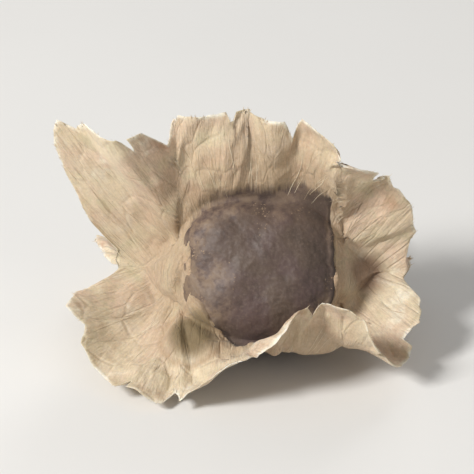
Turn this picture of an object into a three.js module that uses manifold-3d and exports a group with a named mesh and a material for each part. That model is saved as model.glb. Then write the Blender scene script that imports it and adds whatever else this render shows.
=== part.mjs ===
// A moringa seed lying at rest: a blunt three-angled hull and the three papery wings that grow
// out of its angles. The seed grew as one piece, so it is one closed solid.
// Millimetres, +Z up. The seed's axis lies along X. The origin is on the surface that the seed
// rests on, under the middle of its box.

import * as THREE from 'three';
import { mergeVertices } from 'three/addons/utils/BufferGeometryUtils.js';
import Module from 'manifold-3d';

const degree = Math.PI / 180;

// The hull, measured from its own centre
const hull = {
  centre: new THREE.Vector3(1.57, -0.09, 4.6),
  leftLength: 5.5,
  rightLength: 5.2,
  angleRadius: 5.45, // from the axis to each blunt angle, where a wing starts
  faceRadius: 4.65, // from the axis to the middle of each face
  bluntness: 2.8, // 2 is an ellipse, more is squarer
};

// Shallow dents and swellings of the hull: height as a share of its radius, and waves over
// the length and round the axis
const dents = [
  { height: 0.016, alongX: 0.62, round: 2, phase: 0.7 },
  { height: 0.012, alongX: 1.15, round: 5, phase: 2.1 },
  { height: 0.008, alongX: 1.9, round: 7, phase: 4.4 },
];

// Past the hull's two ends the wings run on and meet in a slim core on the axis
const core = { hullRadius: 1.5, endRadius: 0.8, leftEnd: 9.3, rightEnd: 9.5, tipLength: 0.25 };
const sway = { left: [0.35, 0.75], right: [-0.3, 0.35], over: 4 }; // how far Y and Z bend at the ends

const wingThickness = 0.62;
const rootFillet = 1.0; // where a wing flows out of the hull
const crotchTurn = 48 * degree; // how far round the core its own fillets reach, from each wing

// The wings' pleats fan out from two hubs below the axis and run straight between them.
// turnBetween is in degrees per millimetre, and roundness is 0 for pleats as sharp as folded paper.
const fan = { hubX: 2.2, hubDepth: 4, turnBetween: 8, softStart: 1.5, roundness: 0.6 };

// Each wing lies in a half plane through the axis. azimuth turns from +Y towards +Z.
// outline: corners of the torn edge, from the left end to the right, as x and distance from the
// axis. pleats: places round the fan, in degrees, and how far the wing stands off its plane there
// for each millimetre of its width. creases: lines along the seed at distance r, where the wing
// turns by so many degrees; they fade out over spread.
const wings = [
  {
    name: 'upper',
    azimuth: 90,
    outline: [
      [-9.4, 0.9], [-11.5, 2.4], [-13.0, 4.6], [-13.6, 6.8], [-13.2, 8.8], [-11.9, 9.0],
      [-11.3, 10.5], [-7.6, 11.7], [-6.3, 10.3], [-5.4, 11.9], [-1.6, 12.0], [1.2, 11.5],
      [1.9, 10.2], [2.9, 11.6], [5.6, 10.9], [7.2, 9.4], [7.0, 8.2], [8.6, 7.6], [9.9, 5.0],
      [10.3, 2.6], [9.6, 0.9],
    ],
    pleats: [
      [14, 0], [26, 0.18], [38, -0.04], [47, 0.14], [60, -0.08], [71, 0.1],
      [83, -0.04], [96, 0.12], [108, -0.1], [121, 0.14], [133, -0.1], [147, 0.14], [160, 0],
    ],
    creases: [
      { x: -9.5, r: 6.0, spreadX: 5.0, spreadR: 2.4, turn: 26 },
      { x: -1.5, r: 9.0, spreadX: 3.6, spreadR: 1.4, turn: -30 },
      { x: 7.0, r: 7.2, spreadX: 3.2, spreadR: 2.0, turn: 38 },
    ],
  },
  {
    name: 'front',
    azimuth: 205.3,
    outline: [
      [-9.4, 0.9], [-10.9, 2.2], [-12.4, 4.2], [-12.8, 6.3], [-11.6, 6.6], [-11.9, 8.0],
      [-9.6, 9.9], [-6.6, 10.7], [-5.7, 9.7], [-4.9, 10.9], [-0.6, 11.1], [2.4, 11.0],
      [3.0, 10.1], [4.0, 11.0], [7.0, 10.2], [9.2, 8.4], [9.9, 6.2], [9.4, 5.6], [10.4, 4.4],
      [10.5, 2.4], [9.6, 0.9],
    ],
    pleats: [
      [14, 0], [26, -0.16], [38, 0.06], [50, -0.1], [62, 0.08], [74, -0.08],
      [87, 0.06], [99, -0.1], [112, 0.06], [125, -0.1], [140, 0.08], [154, -0.06], [168, 0],
    ],
    creases: [
      { x: 3.8, r: 6.3, spreadX: 5.8, spreadR: 1.9, turn: -114 },
      { x: -8.0, r: 6.0, spreadX: 3.4, spreadR: 2.4, turn: 3 },
    ],
  },
  {
    name: 'back',
    azimuth: 335.2,
    outline: [
      [-9.4, 0.9], [-10.6, 2.4], [-11.6, 4.8], [-11.2, 6.4], [-10.1, 6.9], [-10.3, 8.6],
      [-8.0, 10.3], [-4.4, 11.3], [-3.8, 10.2], [-2.8, 11.4], [1.4, 11.3], [4.4, 11.5],
      [5.2, 10.2], [6.2, 11.0], [8.6, 8.9], [8.3, 7.3], [9.6, 7.0], [10.4, 4.4], [10.3, 2.2],
      [9.6, 0.9],
    ],
    pleats: [
      [14, 0], [28, 0.18], [41, -0.04], [54, 0.12], [66, -0.06], [78, 0.1],
      [90, -0.04], [103, 0.08], [115, -0.08], [127, 0.12], [141, -0.06], [155, 0.08], [168, 0],
    ],
    creases: [
      { x: -8.0, r: 5.6, spreadX: 4.5, spreadR: 2.4, turn: 34 },
      { x: 7.5, r: 6.2, spreadX: 3.0, spreadR: 2.2, turn: 36 },
    ],
  },
];

// The block that cuts small flat spots where the hull and the lower wings touch the surface
const ground = { side: 60, depth: 10 };

// Mesh steps. A row is a loop round the seed, and the rows follow each other from left to right.
const steps = { leftRows: 10, hullRows: 44, rightRows: 9, fillet: 3, wing: 5, face: 11, turn: 24 };
const outlineStops = { start: 5.5, leftEnd: 37, rightEnd: 150, finish: 174.6 }; // degrees

const mix = (a, b, t) => a + (b - a) * t;

// An angle brought between 0 and a full turn
const turnOf = (angle) => ((angle % (2 * Math.PI)) + 2 * Math.PI) % (2 * Math.PI);

function smoothStep(from, to, value) {
  const t = Math.min(Math.max((value - from) / (to - from), 0), 1);
  return t * t * (3 - 2 * t);
}

// How far a pleated wing stands off its plane at a place round the fan
function pleatLift(pleats, place) {
  const last = pleats.length - 2;
  let i = 0;
  while (i < last && place > pleats[i + 1][0]) i += 1;
  const [from, to] = [pleats[i], pleats[i + 1]];
  const t = (place - from[0]) / (to[0] - from[0]);
  return mix(from[1], to[1], mix(t, smoothStep(0, 1, t), fan.roundness));
}

// Degrees round the hull's centre, 0 at the left end of the axis and 180 at the right
const roundCentre = (x, r) => Math.atan2(r, -x) / degree;

// Where the line at so many degrees from the hull's centre meets the wing's edge
function edgePoint(wing, degrees) {
  const { outline } = wing;
  const last = outline.length - 2;
  let i = 0;
  while (i < last && degrees > roundCentre(...outline[i + 1])) i += 1;
  const [x0, r0] = outline[i];
  const [alongX, alongR] = [outline[i + 1][0] - x0, outline[i + 1][1] - r0];
  const [awayX, awayR] = [-Math.cos(degrees * degree), Math.sin(degrees * degree)];
  const reach = (x0 * alongR - r0 * alongX) / (awayX * alongR - awayR * alongX);
  return [reach * awayX, reach * awayR];
}

// The rows' places on the wing's edge, in degrees: each corner is taken by the row nearest to it
function edgeDegrees(wing, rows) {
  const places = rows.map((row) => row.degrees);
  let free = 1;
  for (const [x, r] of wing.outline.slice(1, -1)) {
    const corner = roundCentre(x, r);
    while (Math.abs(places[free + 1] - corner) < Math.abs(places[free] - corner)) free += 1;
    places[free] = corner;
    free += 1;
  }
  return places;
}

// Degrees round the fan of pleats, 90 at the hull's middle
function fanPlace(x, r) {
  const hub = Math.min(Math.max(x, -fan.hubX), fan.hubX);
  return 90 + hub * fan.turnBetween + Math.atan2(x - hub, r + fan.hubDepth) / degree;
}

// 1 over the hull's middle and 0 at its ends
function hullProfile(x) {
  const share = Math.min(Math.abs(x) / (x < 0 ? hull.leftLength : hull.rightLength), 1);
  return (1 - share ** hull.bluntness) ** (1 / hull.bluntness);
}

function coreRadius(x) {
  const length = x < 0 ? hull.leftLength : hull.rightLength;
  const end = x < 0 ? core.leftEnd : core.rightEnd;
  return mix(core.hullRadius, core.endRadius, Math.max((Math.abs(x) - length) / (end - length), 0));
}

// Radius of hull and core together; share is 0 at one wing and 1 at the next
function bodyRadius(x, share, azimuth) {
  const angular = (1 + Math.cos(2 * Math.PI * share)) / 2;
  let radius = mix(hull.faceRadius, hull.angleRadius, angular) * hullProfile(x);
  for (const dent of dents) {
    radius *= 1 + dent.height * Math.sin(x * dent.alongX + azimuth * dent.round + dent.phase);
  }
  return Math.hypot(radius ** 2, coreRadius(x) ** 2) ** 0.5;
}

// The point at x and r of a wing's middle surface, seen from the hull's centre
function wingSheet(wing, x, r) {
  let outward = 0;
  let aside = 0;
  const step = r / steps.turn;
  for (let i = 0; i < steps.turn; i += 1) {
    const along = (i + 0.5) * step;
    let turned = 0;
    for (const crease of wing.creases) {
      const reached = smoothStep(crease.r - crease.spreadR, crease.r + crease.spreadR, along);
      turned += crease.turn * reached * Math.exp(-(((x - crease.x) / crease.spreadX) ** 2));
    }
    outward += Math.cos(turned * degree) * step;
    aside += Math.sin(turned * degree) * step;
  }
  const free = Math.max(r - bodyRadius(x, 0, wing.azimuth * degree), 0);
  aside += (pleatLift(wing.pleats, fanPlace(x, r)) * free ** 2) / (free + fan.softStart);
  const across = Math.cos(wing.azimuth * degree);
  const up = Math.sin(wing.azimuth * degree);
  return new THREE.Vector3(x, outward * across - aside * up, outward * up + aside * across);
}

// A point of the wing's flank: the middle surface, moved off by so much towards one side
function wingFlank(wing, x, r, off) {
  const small = 0.02;
  const alongX = wingSheet(wing, x + small, r).sub(wingSheet(wing, x - small, r));
  const alongR = wingSheet(wing, x, r + small).sub(wingSheet(wing, x, r - small));
  return wingSheet(wing, x, r).addScaledVector(alongX.cross(alongR).normalize(), off);
}

// Where each row starts on hull or core (x) and where it meets the wing's edge (degrees)
function rowStops() {
  const rows = [];
  for (let i = 0; i < steps.leftRows; i += 1) {
    const t = i / steps.leftRows;
    rows.push({
      x: -mix(core.leftEnd, hull.leftLength, t),
      degrees: mix(outlineStops.start, outlineStops.leftEnd, t),
    });
  }
  for (let i = 0; i <= steps.hullRows; i += 1) {
    const t = i / steps.hullRows;
    const fromMiddle = -Math.cos(Math.PI * t);
    rows.push({
      x: fromMiddle * (fromMiddle < 0 ? hull.leftLength : hull.rightLength),
      degrees: mix(outlineStops.leftEnd, outlineStops.rightEnd, t),
    });
  }
  for (let i = 1; i <= steps.rightRows; i += 1) {
    const t = i / steps.rightRows;
    rows.push({
      x: mix(hull.rightLength, core.rightEnd, t),
      degrees: mix(outlineStops.rightEnd, outlineStops.finish, t),
    });
  }
  return rows;
}

// The flank of one wing along one row, from its root to its edge
function flankPoints(wing, row, edge, side, gap) {
  const half = wingThickness / 2;
  const coreFillet = coreRadius(row.x) * Math.sin(crotchTurn) - half;
  const fillet = mix(coreFillet, rootFillet, hullProfile(row.x));
  const rootOff = half + fillet;
  const lead = Math.asin(rootOff / bodyRadius(row.x, 0, wing.azimuth * degree));
  const radius = bodyRadius(row.x, lead / gap, wing.azimuth * degree + side * lead);
  const rootR = Math.sqrt(radius ** 2 - rootOff ** 2);
  const [edgeX, edgeR] = edgePoint(wing, edge);
  const length = Math.hypot(edgeX - row.x, edgeR - rootR);
  const turn = Math.min(fillet, length / 3);
  const stops = [];
  for (let i = 0; i < steps.fillet; i += 1) {
    const angle = (Math.PI / 2) * (i / steps.fillet);
    stops.push([turn * (1 - Math.cos(angle)), half + fillet * (1 - Math.sin(angle))]);
  }
  for (let i = 0; i <= steps.wing; i += 1) stops.push([mix(turn, length, i / steps.wing), half]);
  return stops.map(([along, off]) => {
    const x = mix(row.x, edgeX, along / length);
    const r = mix(rootR, edgeR, along / length);
    return wingFlank(wing, x, r, off * side);
  });
}

// The ends of the seed bend off its straight axis
function swayed(point) {
  const past = Math.max(-point.x - hull.leftLength, point.x - hull.rightLength, 0) / sway.over;
  const [y, z] = point.x < 0 ? sway.left : sway.right;
  return point.add(new THREE.Vector3(0, y * past ** 2, z * past ** 2));
}

// One closed loop round the seed. Each entry has a point and whether it starts an outward run.
function rowLoop(row, edges) {
  const loop = [];
  wings.forEach((wing, k) => {
    const next = wings[(k + 1) % wings.length];
    const gap = turnOf((next.azimuth - wing.azimuth) * degree);
    const leaving = flankPoints(wing, row, edges[k], 1, gap);
    const arriving = flankPoints(next, row, edges[(k + 1) % wings.length], -1, gap);
    for (const point of leaving.reverse()) loop.push({ point, outward: false });
    const first = leaving[leaving.length - 1];
    const last = arriving[0];
    const start = Math.atan2(first.z, first.y);
    const lead = turnOf(start - wing.azimuth * degree);
    const spread = turnOf(Math.atan2(last.z, last.y) - start);
    for (let i = 1; i < steps.face; i += 1) {
      const azimuth = start + (spread * i) / steps.face;
      const radius = bodyRadius(row.x, (lead + azimuth - start) / gap, azimuth);
      const point = new THREE.Vector3(row.x, radius * Math.cos(azimuth), radius * Math.sin(azimuth));
      loop.push({ point, outward: i > steps.face / 2 });
    }
    for (const point of arriving) loop.push({ point, outward: true });
  });
  for (const entry of loop) swayed(entry.point);
  return loop;
}

// The rows joined to one closed skin. Both flanks of a wing are split along like diagonals.
function seedSkin() {
  const stops = rowStops();
  const edges = wings.map((wing) => edgeDegrees(wing, stops));
  const rows = stops.map((row, j) => rowLoop(row, edges.map((places) => places[j])));
  const around = rows[0].length;
  const corners = rows.flatMap((row) => row.map((entry) => entry.point));
  const faces = [];
  for (let j = 0; j + 1 < rows.length; j += 1) {
    for (let i = 0; i < around; i += 1) {
      const next = (i + 1) % around;
      const [a, b] = [j * around + i, j * around + next];
      const [c, d] = [a + around, b + around];
      if (rows[0][i].outward) faces.push([a, b, d], [a, d, c]);
      else faces.push([a, b, c], [b, d, c]);
    }
  }
  const lastRow = (rows.length - 1) * around;
  const tips = [
    { x: -core.leftEnd - core.tipLength, row: 0 },
    { x: core.rightEnd + core.tipLength, row: lastRow },
  ];
  for (const { x, row } of tips) {
    corners.push(swayed(new THREE.Vector3(x, 0, 0)));
    const tip = corners.length - 1;
    for (let i = 0; i < around; i += 1) {
      const pair = [row + i, row + ((i + 1) % around)];
      faces.push(row === 0 ? [tip, pair[1], pair[0]] : [tip, pair[0], pair[1]]);
    }
  }
  for (const corner of corners) corner.add(hull.centre);
  return { corners, faces };
}

const wasm = await Module();
wasm.setup();

function solidOf(geometry) {
  geometry.deleteAttribute('normal');
  geometry.deleteAttribute('uv');
  const merged = mergeVertices(geometry);
  const vertProperties = merged.getAttribute('position').array;
  const triVerts = new Uint32Array(merged.index.array);
  return new wasm.Manifold(new wasm.Mesh({ numProp: 3, vertProperties, triVerts }));
}

function seedGeometry() {
  const { corners, faces } = seedSkin();
  const skin = new THREE.BufferGeometry().setFromPoints(corners).setIndex(faces.flat());
  const rest = new THREE.BoxGeometry(ground.side, ground.side, ground.depth);
  const seed = solidOf(skin).subtract(solidOf(rest.translate(0, 0, -ground.depth / 2))).getMesh();
  const geometry = new THREE.BufferGeometry();
  geometry.setAttribute('position', new THREE.BufferAttribute(seed.vertProperties, 3));
  geometry.setIndex(new THREE.BufferAttribute(seed.triVerts, 1));
  geometry.computeVertexNormals();
  return geometry;
}

const seedCoat = new THREE.MeshStandardMaterial({ color: 0xc3ab88, roughness: 0.85, metalness: 0 });
const seed = new THREE.Mesh(seedGeometry(), seedCoat);
seed.name = 'moringa_seed';

const part = new THREE.Group();
part.add(seed);

export default part;
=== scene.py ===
# A moringa seed lying on a pale surface: a brown three-angled hull in a papery coat that
# stands off its angles as three torn wings. Lengths in the values below are millimetres,
# measured from the hull's own centre with the seed's axis along X, unless a note says otherwise.

from math import cos, pi, radians, sin

import bpy
import numpy as np
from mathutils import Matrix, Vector, noise


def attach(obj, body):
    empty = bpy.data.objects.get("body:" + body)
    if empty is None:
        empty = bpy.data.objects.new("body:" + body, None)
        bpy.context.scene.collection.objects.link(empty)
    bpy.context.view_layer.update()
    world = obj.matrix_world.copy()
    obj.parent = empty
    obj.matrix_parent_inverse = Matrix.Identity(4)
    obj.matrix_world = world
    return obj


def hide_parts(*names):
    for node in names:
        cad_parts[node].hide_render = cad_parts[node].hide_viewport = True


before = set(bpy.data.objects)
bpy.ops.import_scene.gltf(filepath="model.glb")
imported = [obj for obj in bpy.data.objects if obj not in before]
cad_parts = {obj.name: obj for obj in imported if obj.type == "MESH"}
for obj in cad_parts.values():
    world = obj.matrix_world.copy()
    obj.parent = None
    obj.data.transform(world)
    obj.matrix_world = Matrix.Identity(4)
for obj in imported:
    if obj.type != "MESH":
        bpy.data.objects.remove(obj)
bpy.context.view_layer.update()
mm = 0.001
small = 0.02  # a step in millimetres, to measure slopes over
print("frame loaded")


# The hull and the core on its axis, where the wings meet past the hull's ends
hullShape = {
    "centre": (1.57, -0.09, 4.6),
    "leftLength": 5.5,
    "rightLength": 5.2,
    "angleRadius": 5.45,  # from the axis to each blunt angle, where a wing starts
    "faceRadius": 4.65,  # from the axis to the middle of each face
    "bluntness": 2.8,  # 2 is an ellipse, more is squarer
    # height as a share of the radius, waves along X, waves round the axis, phase
    "dents": [(0.016, 0.62, 2, 0.7), (0.012, 1.15, 5, 2.1), (0.008, 1.9, 7, 4.4)],
    "coreRadius": 0.3,
    "coreEndRadius": 0.14,
    "coreLeft": 9.3,
    "coreRight": 9.5,
    "coreTip": 0.25,
    "swayLeft": (0.35, 0.75),  # how far the ends bend in Y and Z
    "swayRight": (-0.3, 0.35),
    "swayOver": 4,
    "pressedOver": 0.12,  # height over the surface below which the seed is pressed flat
}

# The pleats fan out from two hubs below the axis and run straight between them
fanShape = {
    "hubX": 2.2,
    "hubDepth": 4,
    "turnBetween": 8,  # degrees for each millimetre between the hubs
    "softStart": 1.5,
    "roundness": 0.6,  # 0 folds the pleats as sharply as paper
    "rayRadius": 9,  # how far out a place round the fan is turned into millimetres across it
}

# Each wing lies in a half plane through the axis; its azimuth turns from +Y towards +Z.
# outline: corners of the torn edge as x and distance from the axis. pleats: place round the
# fan in degrees, and how far the wing stands off its plane for each millimetre of width.
# creases: x, r, spread in x, spread in r, and degrees turned. tears: place in degrees round
# the hull's centre, width in degrees, depth. First the wing that stands over the hull, then the
# one that lies in front of it, then the one behind it.
wings = [
    {
        "azimuth": 90,
        "outline": [
            (-9.4, 0.9), (-11.5, 2.4), (-13.0, 4.6), (-13.6, 6.8), (-13.2, 8.8), (-11.9, 9.0),
            (-11.3, 10.5), (-7.6, 11.7), (-6.3, 10.3), (-5.4, 11.9), (-1.6, 12.0), (1.2, 11.5),
            (1.9, 10.2), (2.9, 11.6), (5.6, 10.9), (7.2, 9.4), (7.0, 8.2), (8.6, 7.6), (9.9, 5.0),
            (10.3, 2.6), (9.6, 0.9),
        ],
        "pleats": [
            (14, 0), (26, 0.18), (38, -0.04), (47, 0.14), (60, -0.08), (71, 0.1), (83, -0.04),
            (96, 0.12), (108, -0.1), (121, 0.14), (133, -0.1), (147, 0.14), (160, 0),
        ],
        "creases": [(-9.5, 6.0, 5.0, 2.4, 26), (-1.5, 9.0, 3.6, 1.4, -30), (7.0, 7.2, 3.2, 2.0, 38)],
        "tears": [(52, 1.3, 1.5), (79, 1.0, 1.2), (118, 1.2, 1.4)],
    },
    {
        "azimuth": 205.3,
        "outline": [
            (-9.4, 0.9), (-10.9, 2.2), (-12.4, 4.2), (-12.8, 6.3), (-11.6, 6.6), (-11.9, 8.0),
            (-9.6, 9.9), (-6.6, 10.7), (-5.7, 9.7), (-4.9, 10.9), (-0.6, 11.1), (2.4, 11.0),
            (3.0, 10.1), (4.0, 11.0), (7.0, 10.2), (9.2, 8.4), (9.9, 6.2), (9.4, 5.6), (10.4, 4.4),
            (10.5, 2.4), (9.6, 0.9),
        ],
        "pleats": [
            (14, 0), (26, -0.16), (38, 0.06), (50, -0.1), (62, 0.08), (74, -0.08), (87, 0.06),
            (99, -0.1), (112, 0.06), (125, -0.1), (140, 0.08), (154, -0.06), (168, 0),
        ],
        "creases": [(3.8, 6.3, 5.8, 1.9, -114), (-8.0, 6.0, 3.4, 2.4, 3)],
        "tears": [(48, 1.2, 1.3), (86, 1.1, 1.4), (133, 1.0, 1.1)],
    },
    {
        "azimuth": 335.2,
        "outline": [
            (-9.4, 0.9), (-10.6, 2.4), (-11.6, 4.8), (-11.2, 6.4), (-10.1, 6.9), (-10.3, 8.6),
            (-8.0, 10.3), (-4.4, 11.3), (-3.8, 10.2), (-2.8, 11.4), (1.4, 11.3), (4.4, 11.5),
            (5.2, 10.2), (6.2, 11.0), (8.6, 8.9), (8.3, 7.3), (9.6, 7.0), (10.4, 4.4), (10.3, 2.2),
            (9.6, 0.9),
        ],
        "pleats": [
            (14, 0), (28, 0.18), (41, -0.04), (54, 0.12), (66, -0.06), (78, 0.1), (90, -0.04),
            (103, 0.08), (115, -0.08), (127, 0.12), (141, -0.06), (155, 0.08), (168, 0),
        ],
        "creases": [(-8.0, 5.6, 4.5, 2.4, 34), (7.5, 6.2, 3.0, 2.2, 36)],
        "tears": [(58, 1.2, 1.2), (97, 1.1, 1.5), (141, 1.1, 1.1)],
    },
]


def mix(a, b, t):
    return a + (b - a) * t


def smoothStep(start, end, value):
    t = np.clip((value - start) / (end - start), 0, 1)
    return t * t * (3 - 2 * t)


def bump(value, middle, width):
    return np.exp(-(((value - middle) / width) ** 2))


# The radius of two round bodies that run into each other
def blended(a, b):
    return (a ** 4 + b ** 4) ** 0.25


def unit(vectors):
    return vectors / np.maximum(np.linalg.norm(vectors, axis=-1, keepdims=True), 1e-12)


# Random heights from -1 to 1 on a square grid, joined smoothly or by flat facets with crisp folds
def randomField(u, v, size, seed, crisp=False):
    side = 61
    heights = np.random.default_rng(seed).uniform(-1, 1, (side, side))
    u, v = np.broadcast_arrays(u / size, v / size)
    i, j = np.floor(u).astype(int), np.floor(v).astype(int)
    s, t = u - i, v - j
    low, right = heights[i % side, j % side], heights[(i + 1) % side, j % side]
    up, far = heights[i % side, (j + 1) % side], heights[(i + 1) % side, (j + 1) % side]
    if crisp:
        return np.where(s > t, low + (right - low) * s + (far - right) * t,
                        low + (far - up) * s + (up - low) * t)
    s, t = smoothStep(0, 1, s), smoothStep(0, 1, t)
    return mix(mix(low, right, s), mix(up, far, s), t)


# Crumpled paper: crisp facets whose grid is pulled out of square
def crumpled(u, v, size, seed):
    pull, pullSize = 0.55 * size, 1.4 * size
    pulledU = u + pull * randomField(u, v, pullSize, seed + 1)
    pulledV = v + pull * randomField(u, v, pullSize, seed + 2)
    return randomField(pulledU, pulledV, size, seed, crisp=True)


def wingAzimuth(k):
    return radians(wings[k % 3]["azimuth"])


def hullLength(x):
    return np.where(x < 0, hullShape["leftLength"], hullShape["rightLength"])


# 1 over the hull's middle and 0 at its ends
def hullProfile(x):
    share = np.minimum(np.abs(x) / hullLength(x), 1)
    return (1 - share ** hullShape["bluntness"]) ** (1 / hullShape["bluntness"])


# share is 0 at one wing and 1 at the next
def hullRadius(x, share, azimuth):
    angular = (1 + np.cos(2 * pi * share)) / 2
    radius = mix(hullShape["faceRadius"], hullShape["angleRadius"], angular) * hullProfile(x)
    for height, alongX, aroundAxis, phase in hullShape["dents"]:
        radius = radius * (1 + height * np.sin(x * alongX + azimuth * aroundAxis + phase))
    return radius


def coreRadius(x):
    end = np.where(x < 0, hullShape["coreLeft"], hullShape["coreRight"])
    past = np.maximum((np.abs(x) - hullLength(x)) / (end - hullLength(x)), 0)
    return mix(hullShape["coreRadius"], hullShape["coreEndRadius"], past)


# How far a place on a wing lies out from hull and core
def freeWidth(azimuth, x, r):
    return np.maximum(r - blended(hullRadius(x, 0, azimuth), coreRadius(x)), 0)


# From millimetres round the hull's centre to metres in the frame. The ends of the seed bend off
# its straight axis, and what would sink below the surface is pressed flat just above it.
def placed(points):
    x = points[..., 0]
    past = (np.maximum(np.abs(x) - hullLength(x), 0) / hullShape["swayOver"]) ** 2
    sway = np.where((x < 0)[..., None], hullShape["swayLeft"], hullShape["swayRight"])
    moved = points.copy()
    moved[..., 1:] += past[..., None] * sway
    moved += hullShape["centre"]
    z = moved[..., 2]
    moved[..., 2] = (z + np.hypot(z, hullShape["pressedOver"])) / 2
    return moved * mm


# The papery coat and the wings that it forms
paper = {
    "halfThickness": 0.08,
    "rimHalfThickness": 0.03,
    "rimTaper": 0.6,  # how far in from the torn edge the paper thins
    "rootFillet": 0.42,
    "tailFillets": (2.0, 0.5),  # between two wings past the hull: at its end, and at the seed's end
    "tailStart": 6,  # degrees short of the middle between two wings
    "tailRadius": (2.6, 2.4),  # below this coat radius the wings' feet, and the faces, turn to tails
    "neckRadius": 2.75,  # the coat draws in from the hull's ends to the tails over this neck
    "neckLength": 2.7,
    "neckStart": 0.9,  # before the hull's end
    "neckTaper": 1.2,
    "neckWaves": [(0.2, 3, 1.0), (0.12, 7, 2.2)],  # height, waves round the axis, phase
    "footFrom": (-0.5, -0.1),  # along X from the hull's end; here the faces join the wings' feet
    "footShare": 0.3,  # of a face
    "steepest": 3,  # slope of the coat along X
    "fibreSlant": 1.2,  # fibres over the hull's ends lean towards the tails
    "slantFrom": (0.55, 0.95),  # as a share of the hull's length
    "relaxRounds": 30,  # smoothing of the neck, where wings and hull run together
    "relaxFrom": (-0.35, -0.05),  # measured along X from the hull's end
    "relaxTo": (2.6, 1.6),
    "relaxWidth": 1.5,  # and up each wing from its foot
    "relaxStrength": 0.8,
    "overHull": 0.07,  # how far the coat lies above the hull where it covers it
    "overBare": 0.02,  # at a wing's foot where the hull is bare
    "underHull": 0.35,  # and how far below the bare hull, at some way from the feet
    "sinkOver": 0.7,  # it sinks under the hull over this width
    # facets of the crumpled wing: size across the rays, height
    "facets": [(3.1, 0.5), (1.5, 0.3), (0.75, 0.13), (0.36, 0.045)],
    "facetStretch": 0.6,  # less than 1 makes the facets longer along the rays
    "facetStart": 1.6,  # the crumpling grows over this width from the hull
    "facetApart": 40,  # the wings take their facets from places this far apart
    "faceFacets": 0.45,  # the share of their height that facets have over the hull
    "faceFacetRaise": 0.39,  # added to them first, so that few dip below the hull
    "faceFacetFrom": (0.1, 1.2),  # inside the coat's margin
    "curl": 0.95,  # how far the torn edge curls off the wing
    "curlWidth": 2.2,
    "curlEvery": 4.2,
    # teeth of the torn edge: size along it, depth
    "teeth": [(1.25, 0.36), (0.45, 0.17), (0.2, 0.07)],
    "teethOver": 6,  # they grow over this distance from the hull's centre
    "tearTaper": 1.5,  # 1 tears the edge in straight notches, more in narrower ones
    "edgeRadius": 11,  # how far out degrees are turned into millimetres along the torn edge
    "rows": (46, 168, 36),  # left of the hull, over it and right of it
    "rowDegrees": (5.5, 37, 150, 174.6),  # round the hull's centre, where they meet the torn edge
    "filletSteps": 6,
    "wingSteps": 34,
    "faceSteps": 50,
    "crowding": 0.7,  # 0 spaces the steps of a face evenly, 1 crowds them beside the wings
    "turnSteps": 24,
}
seeds = {"teeth": 71, "wingFacets": 101, "curl": 131, "faceFacets": 201, "scurf": 51}

# The bare part of each face between two wings, in the order of the wings. bare: corners of its
# outline, as millimetres along the hull's surface from its middle and round it from the face's
# middle, which run on up the feet of the wings. ragged: how far the coat's margin wanders off it.
# lifted: the side on which the margin is crisp and stands off the hull, in degrees from +X
# towards the next wing.
windows = [
    {
        "bare": [
            (-4.1, -4.0), (-2.6, -5.0), (0.5, -5.5), (3.0, -5.5), (5.0, -4.9), (5.15, 2.1),
            (2.0, 4.3), (-1.1, 5.9), (-3.4, 3.5), (-5.0, 0.5), (-5.0, -2.4),
        ],
        "ragged": 0.28, "lifted": 38, "seed": 11,
    },
    {
        "bare": [
            (-5.1, -1.2), (-4.4, -3.4), (-1.8, -5.2), (1.6, -5.4), (4.2, -4.3), (5.1, -1.0),
            (4.8, 2.6), (2.8, 4.8), (-0.6, 5.5), (-3.6, 4.4), (-5.0, 1.8),
        ],
        "ragged": 0.42, "lifted": 160, "seed": 23,
    },
    {
        "bare": [
            (-5.2, -1.8), (-3.8, -4.2), (-0.8, -5.3), (2.2, -5.0), (4.6, -3.4), (5.2, -0.4),
            (4.5, 2.6), (2.6, 4.7), (-0.6, 5.3), (-3.4, 4.3), (-4.9, 0.6),
        ],
        "ragged": 0.4, "lifted": 200, "seed": 37,
    },
]
margins = {
    "wander": [(1.7, 1, False), (0.7, 0.5, False), (0.28, 0.3, True)],  # size, share, crisp
    "facing": (-0.25, 0.45),  # from soft to crisp, as the cosine off the lifted side
    "facingWander": (1.3, 0.25),  # size, height
    "soft": 0.09,  # over what width the coat thins out
    "softScale": 0.3,  # the share of this crispness that the far side keeps
    "lip": 0.26,  # how far the lifted margin stands off the hull
    "lipAt": 0.26,
    "lipWidth": 0.36,
    "lipStart": 0.8,  # it rises over this width from a wing's foot
    "wingLip": 0.07,
    "wingLipAt": 0.2,
    "wingLipWidth": 0.28,
    "wingLipLeast": 0.4,  # on the soft side
    "groove": 0.26,  # how deep the hull is pressed in along the lifted margin
    "grooveAt": -0.16,
    "grooveWidth": 0.22,
}

# Swellings of the coat, and reddish stains with painted shade in the wings' crotches on the tails:
# place round the hull's centre, radius, height or strength, and for a swelling the azimuth towards
# which it stands
swellings = [(-4.5, -5.2, -1.8, 1.75, 0.85, 112), (3.4, 4.4, -1.2, 0.9, 0.25, 65)]
swellingShape = {"steepness": 3, "depth": 1.6}  # of its sides, and how many radii deep it fades
stains = [(6.9, -0.9, 0.4, 1.5, 1.1), (-6.6, 0.6, 0.9, 1.0, 0.5), (-8.8, -2.9, 1.2, 0.9, 0.4)]

middleRadius = (hullShape["faceRadius"] + hullShape["angleRadius"]) / 2


# Radius of hull and neck together, past the hull's end or short of it
def withNeck(radius, past):
    neck = (1 - np.clip(past / paper["neckLength"], 0, 1)) ** paper["neckTaper"]
    neck = neck * smoothStep(-paper["neckStart"], 0, past)
    return blended(radius, paper["neckRadius"] * neck)


def coatRadius(x, share, azimuth):
    past = np.abs(x) - hullLength(x)
    for height, around, phase in paper["neckWaves"]:
        past = past + height * np.sin(azimuth * around + x + phase)
    return withNeck(hullRadius(x, share, azimuth), past)


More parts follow.
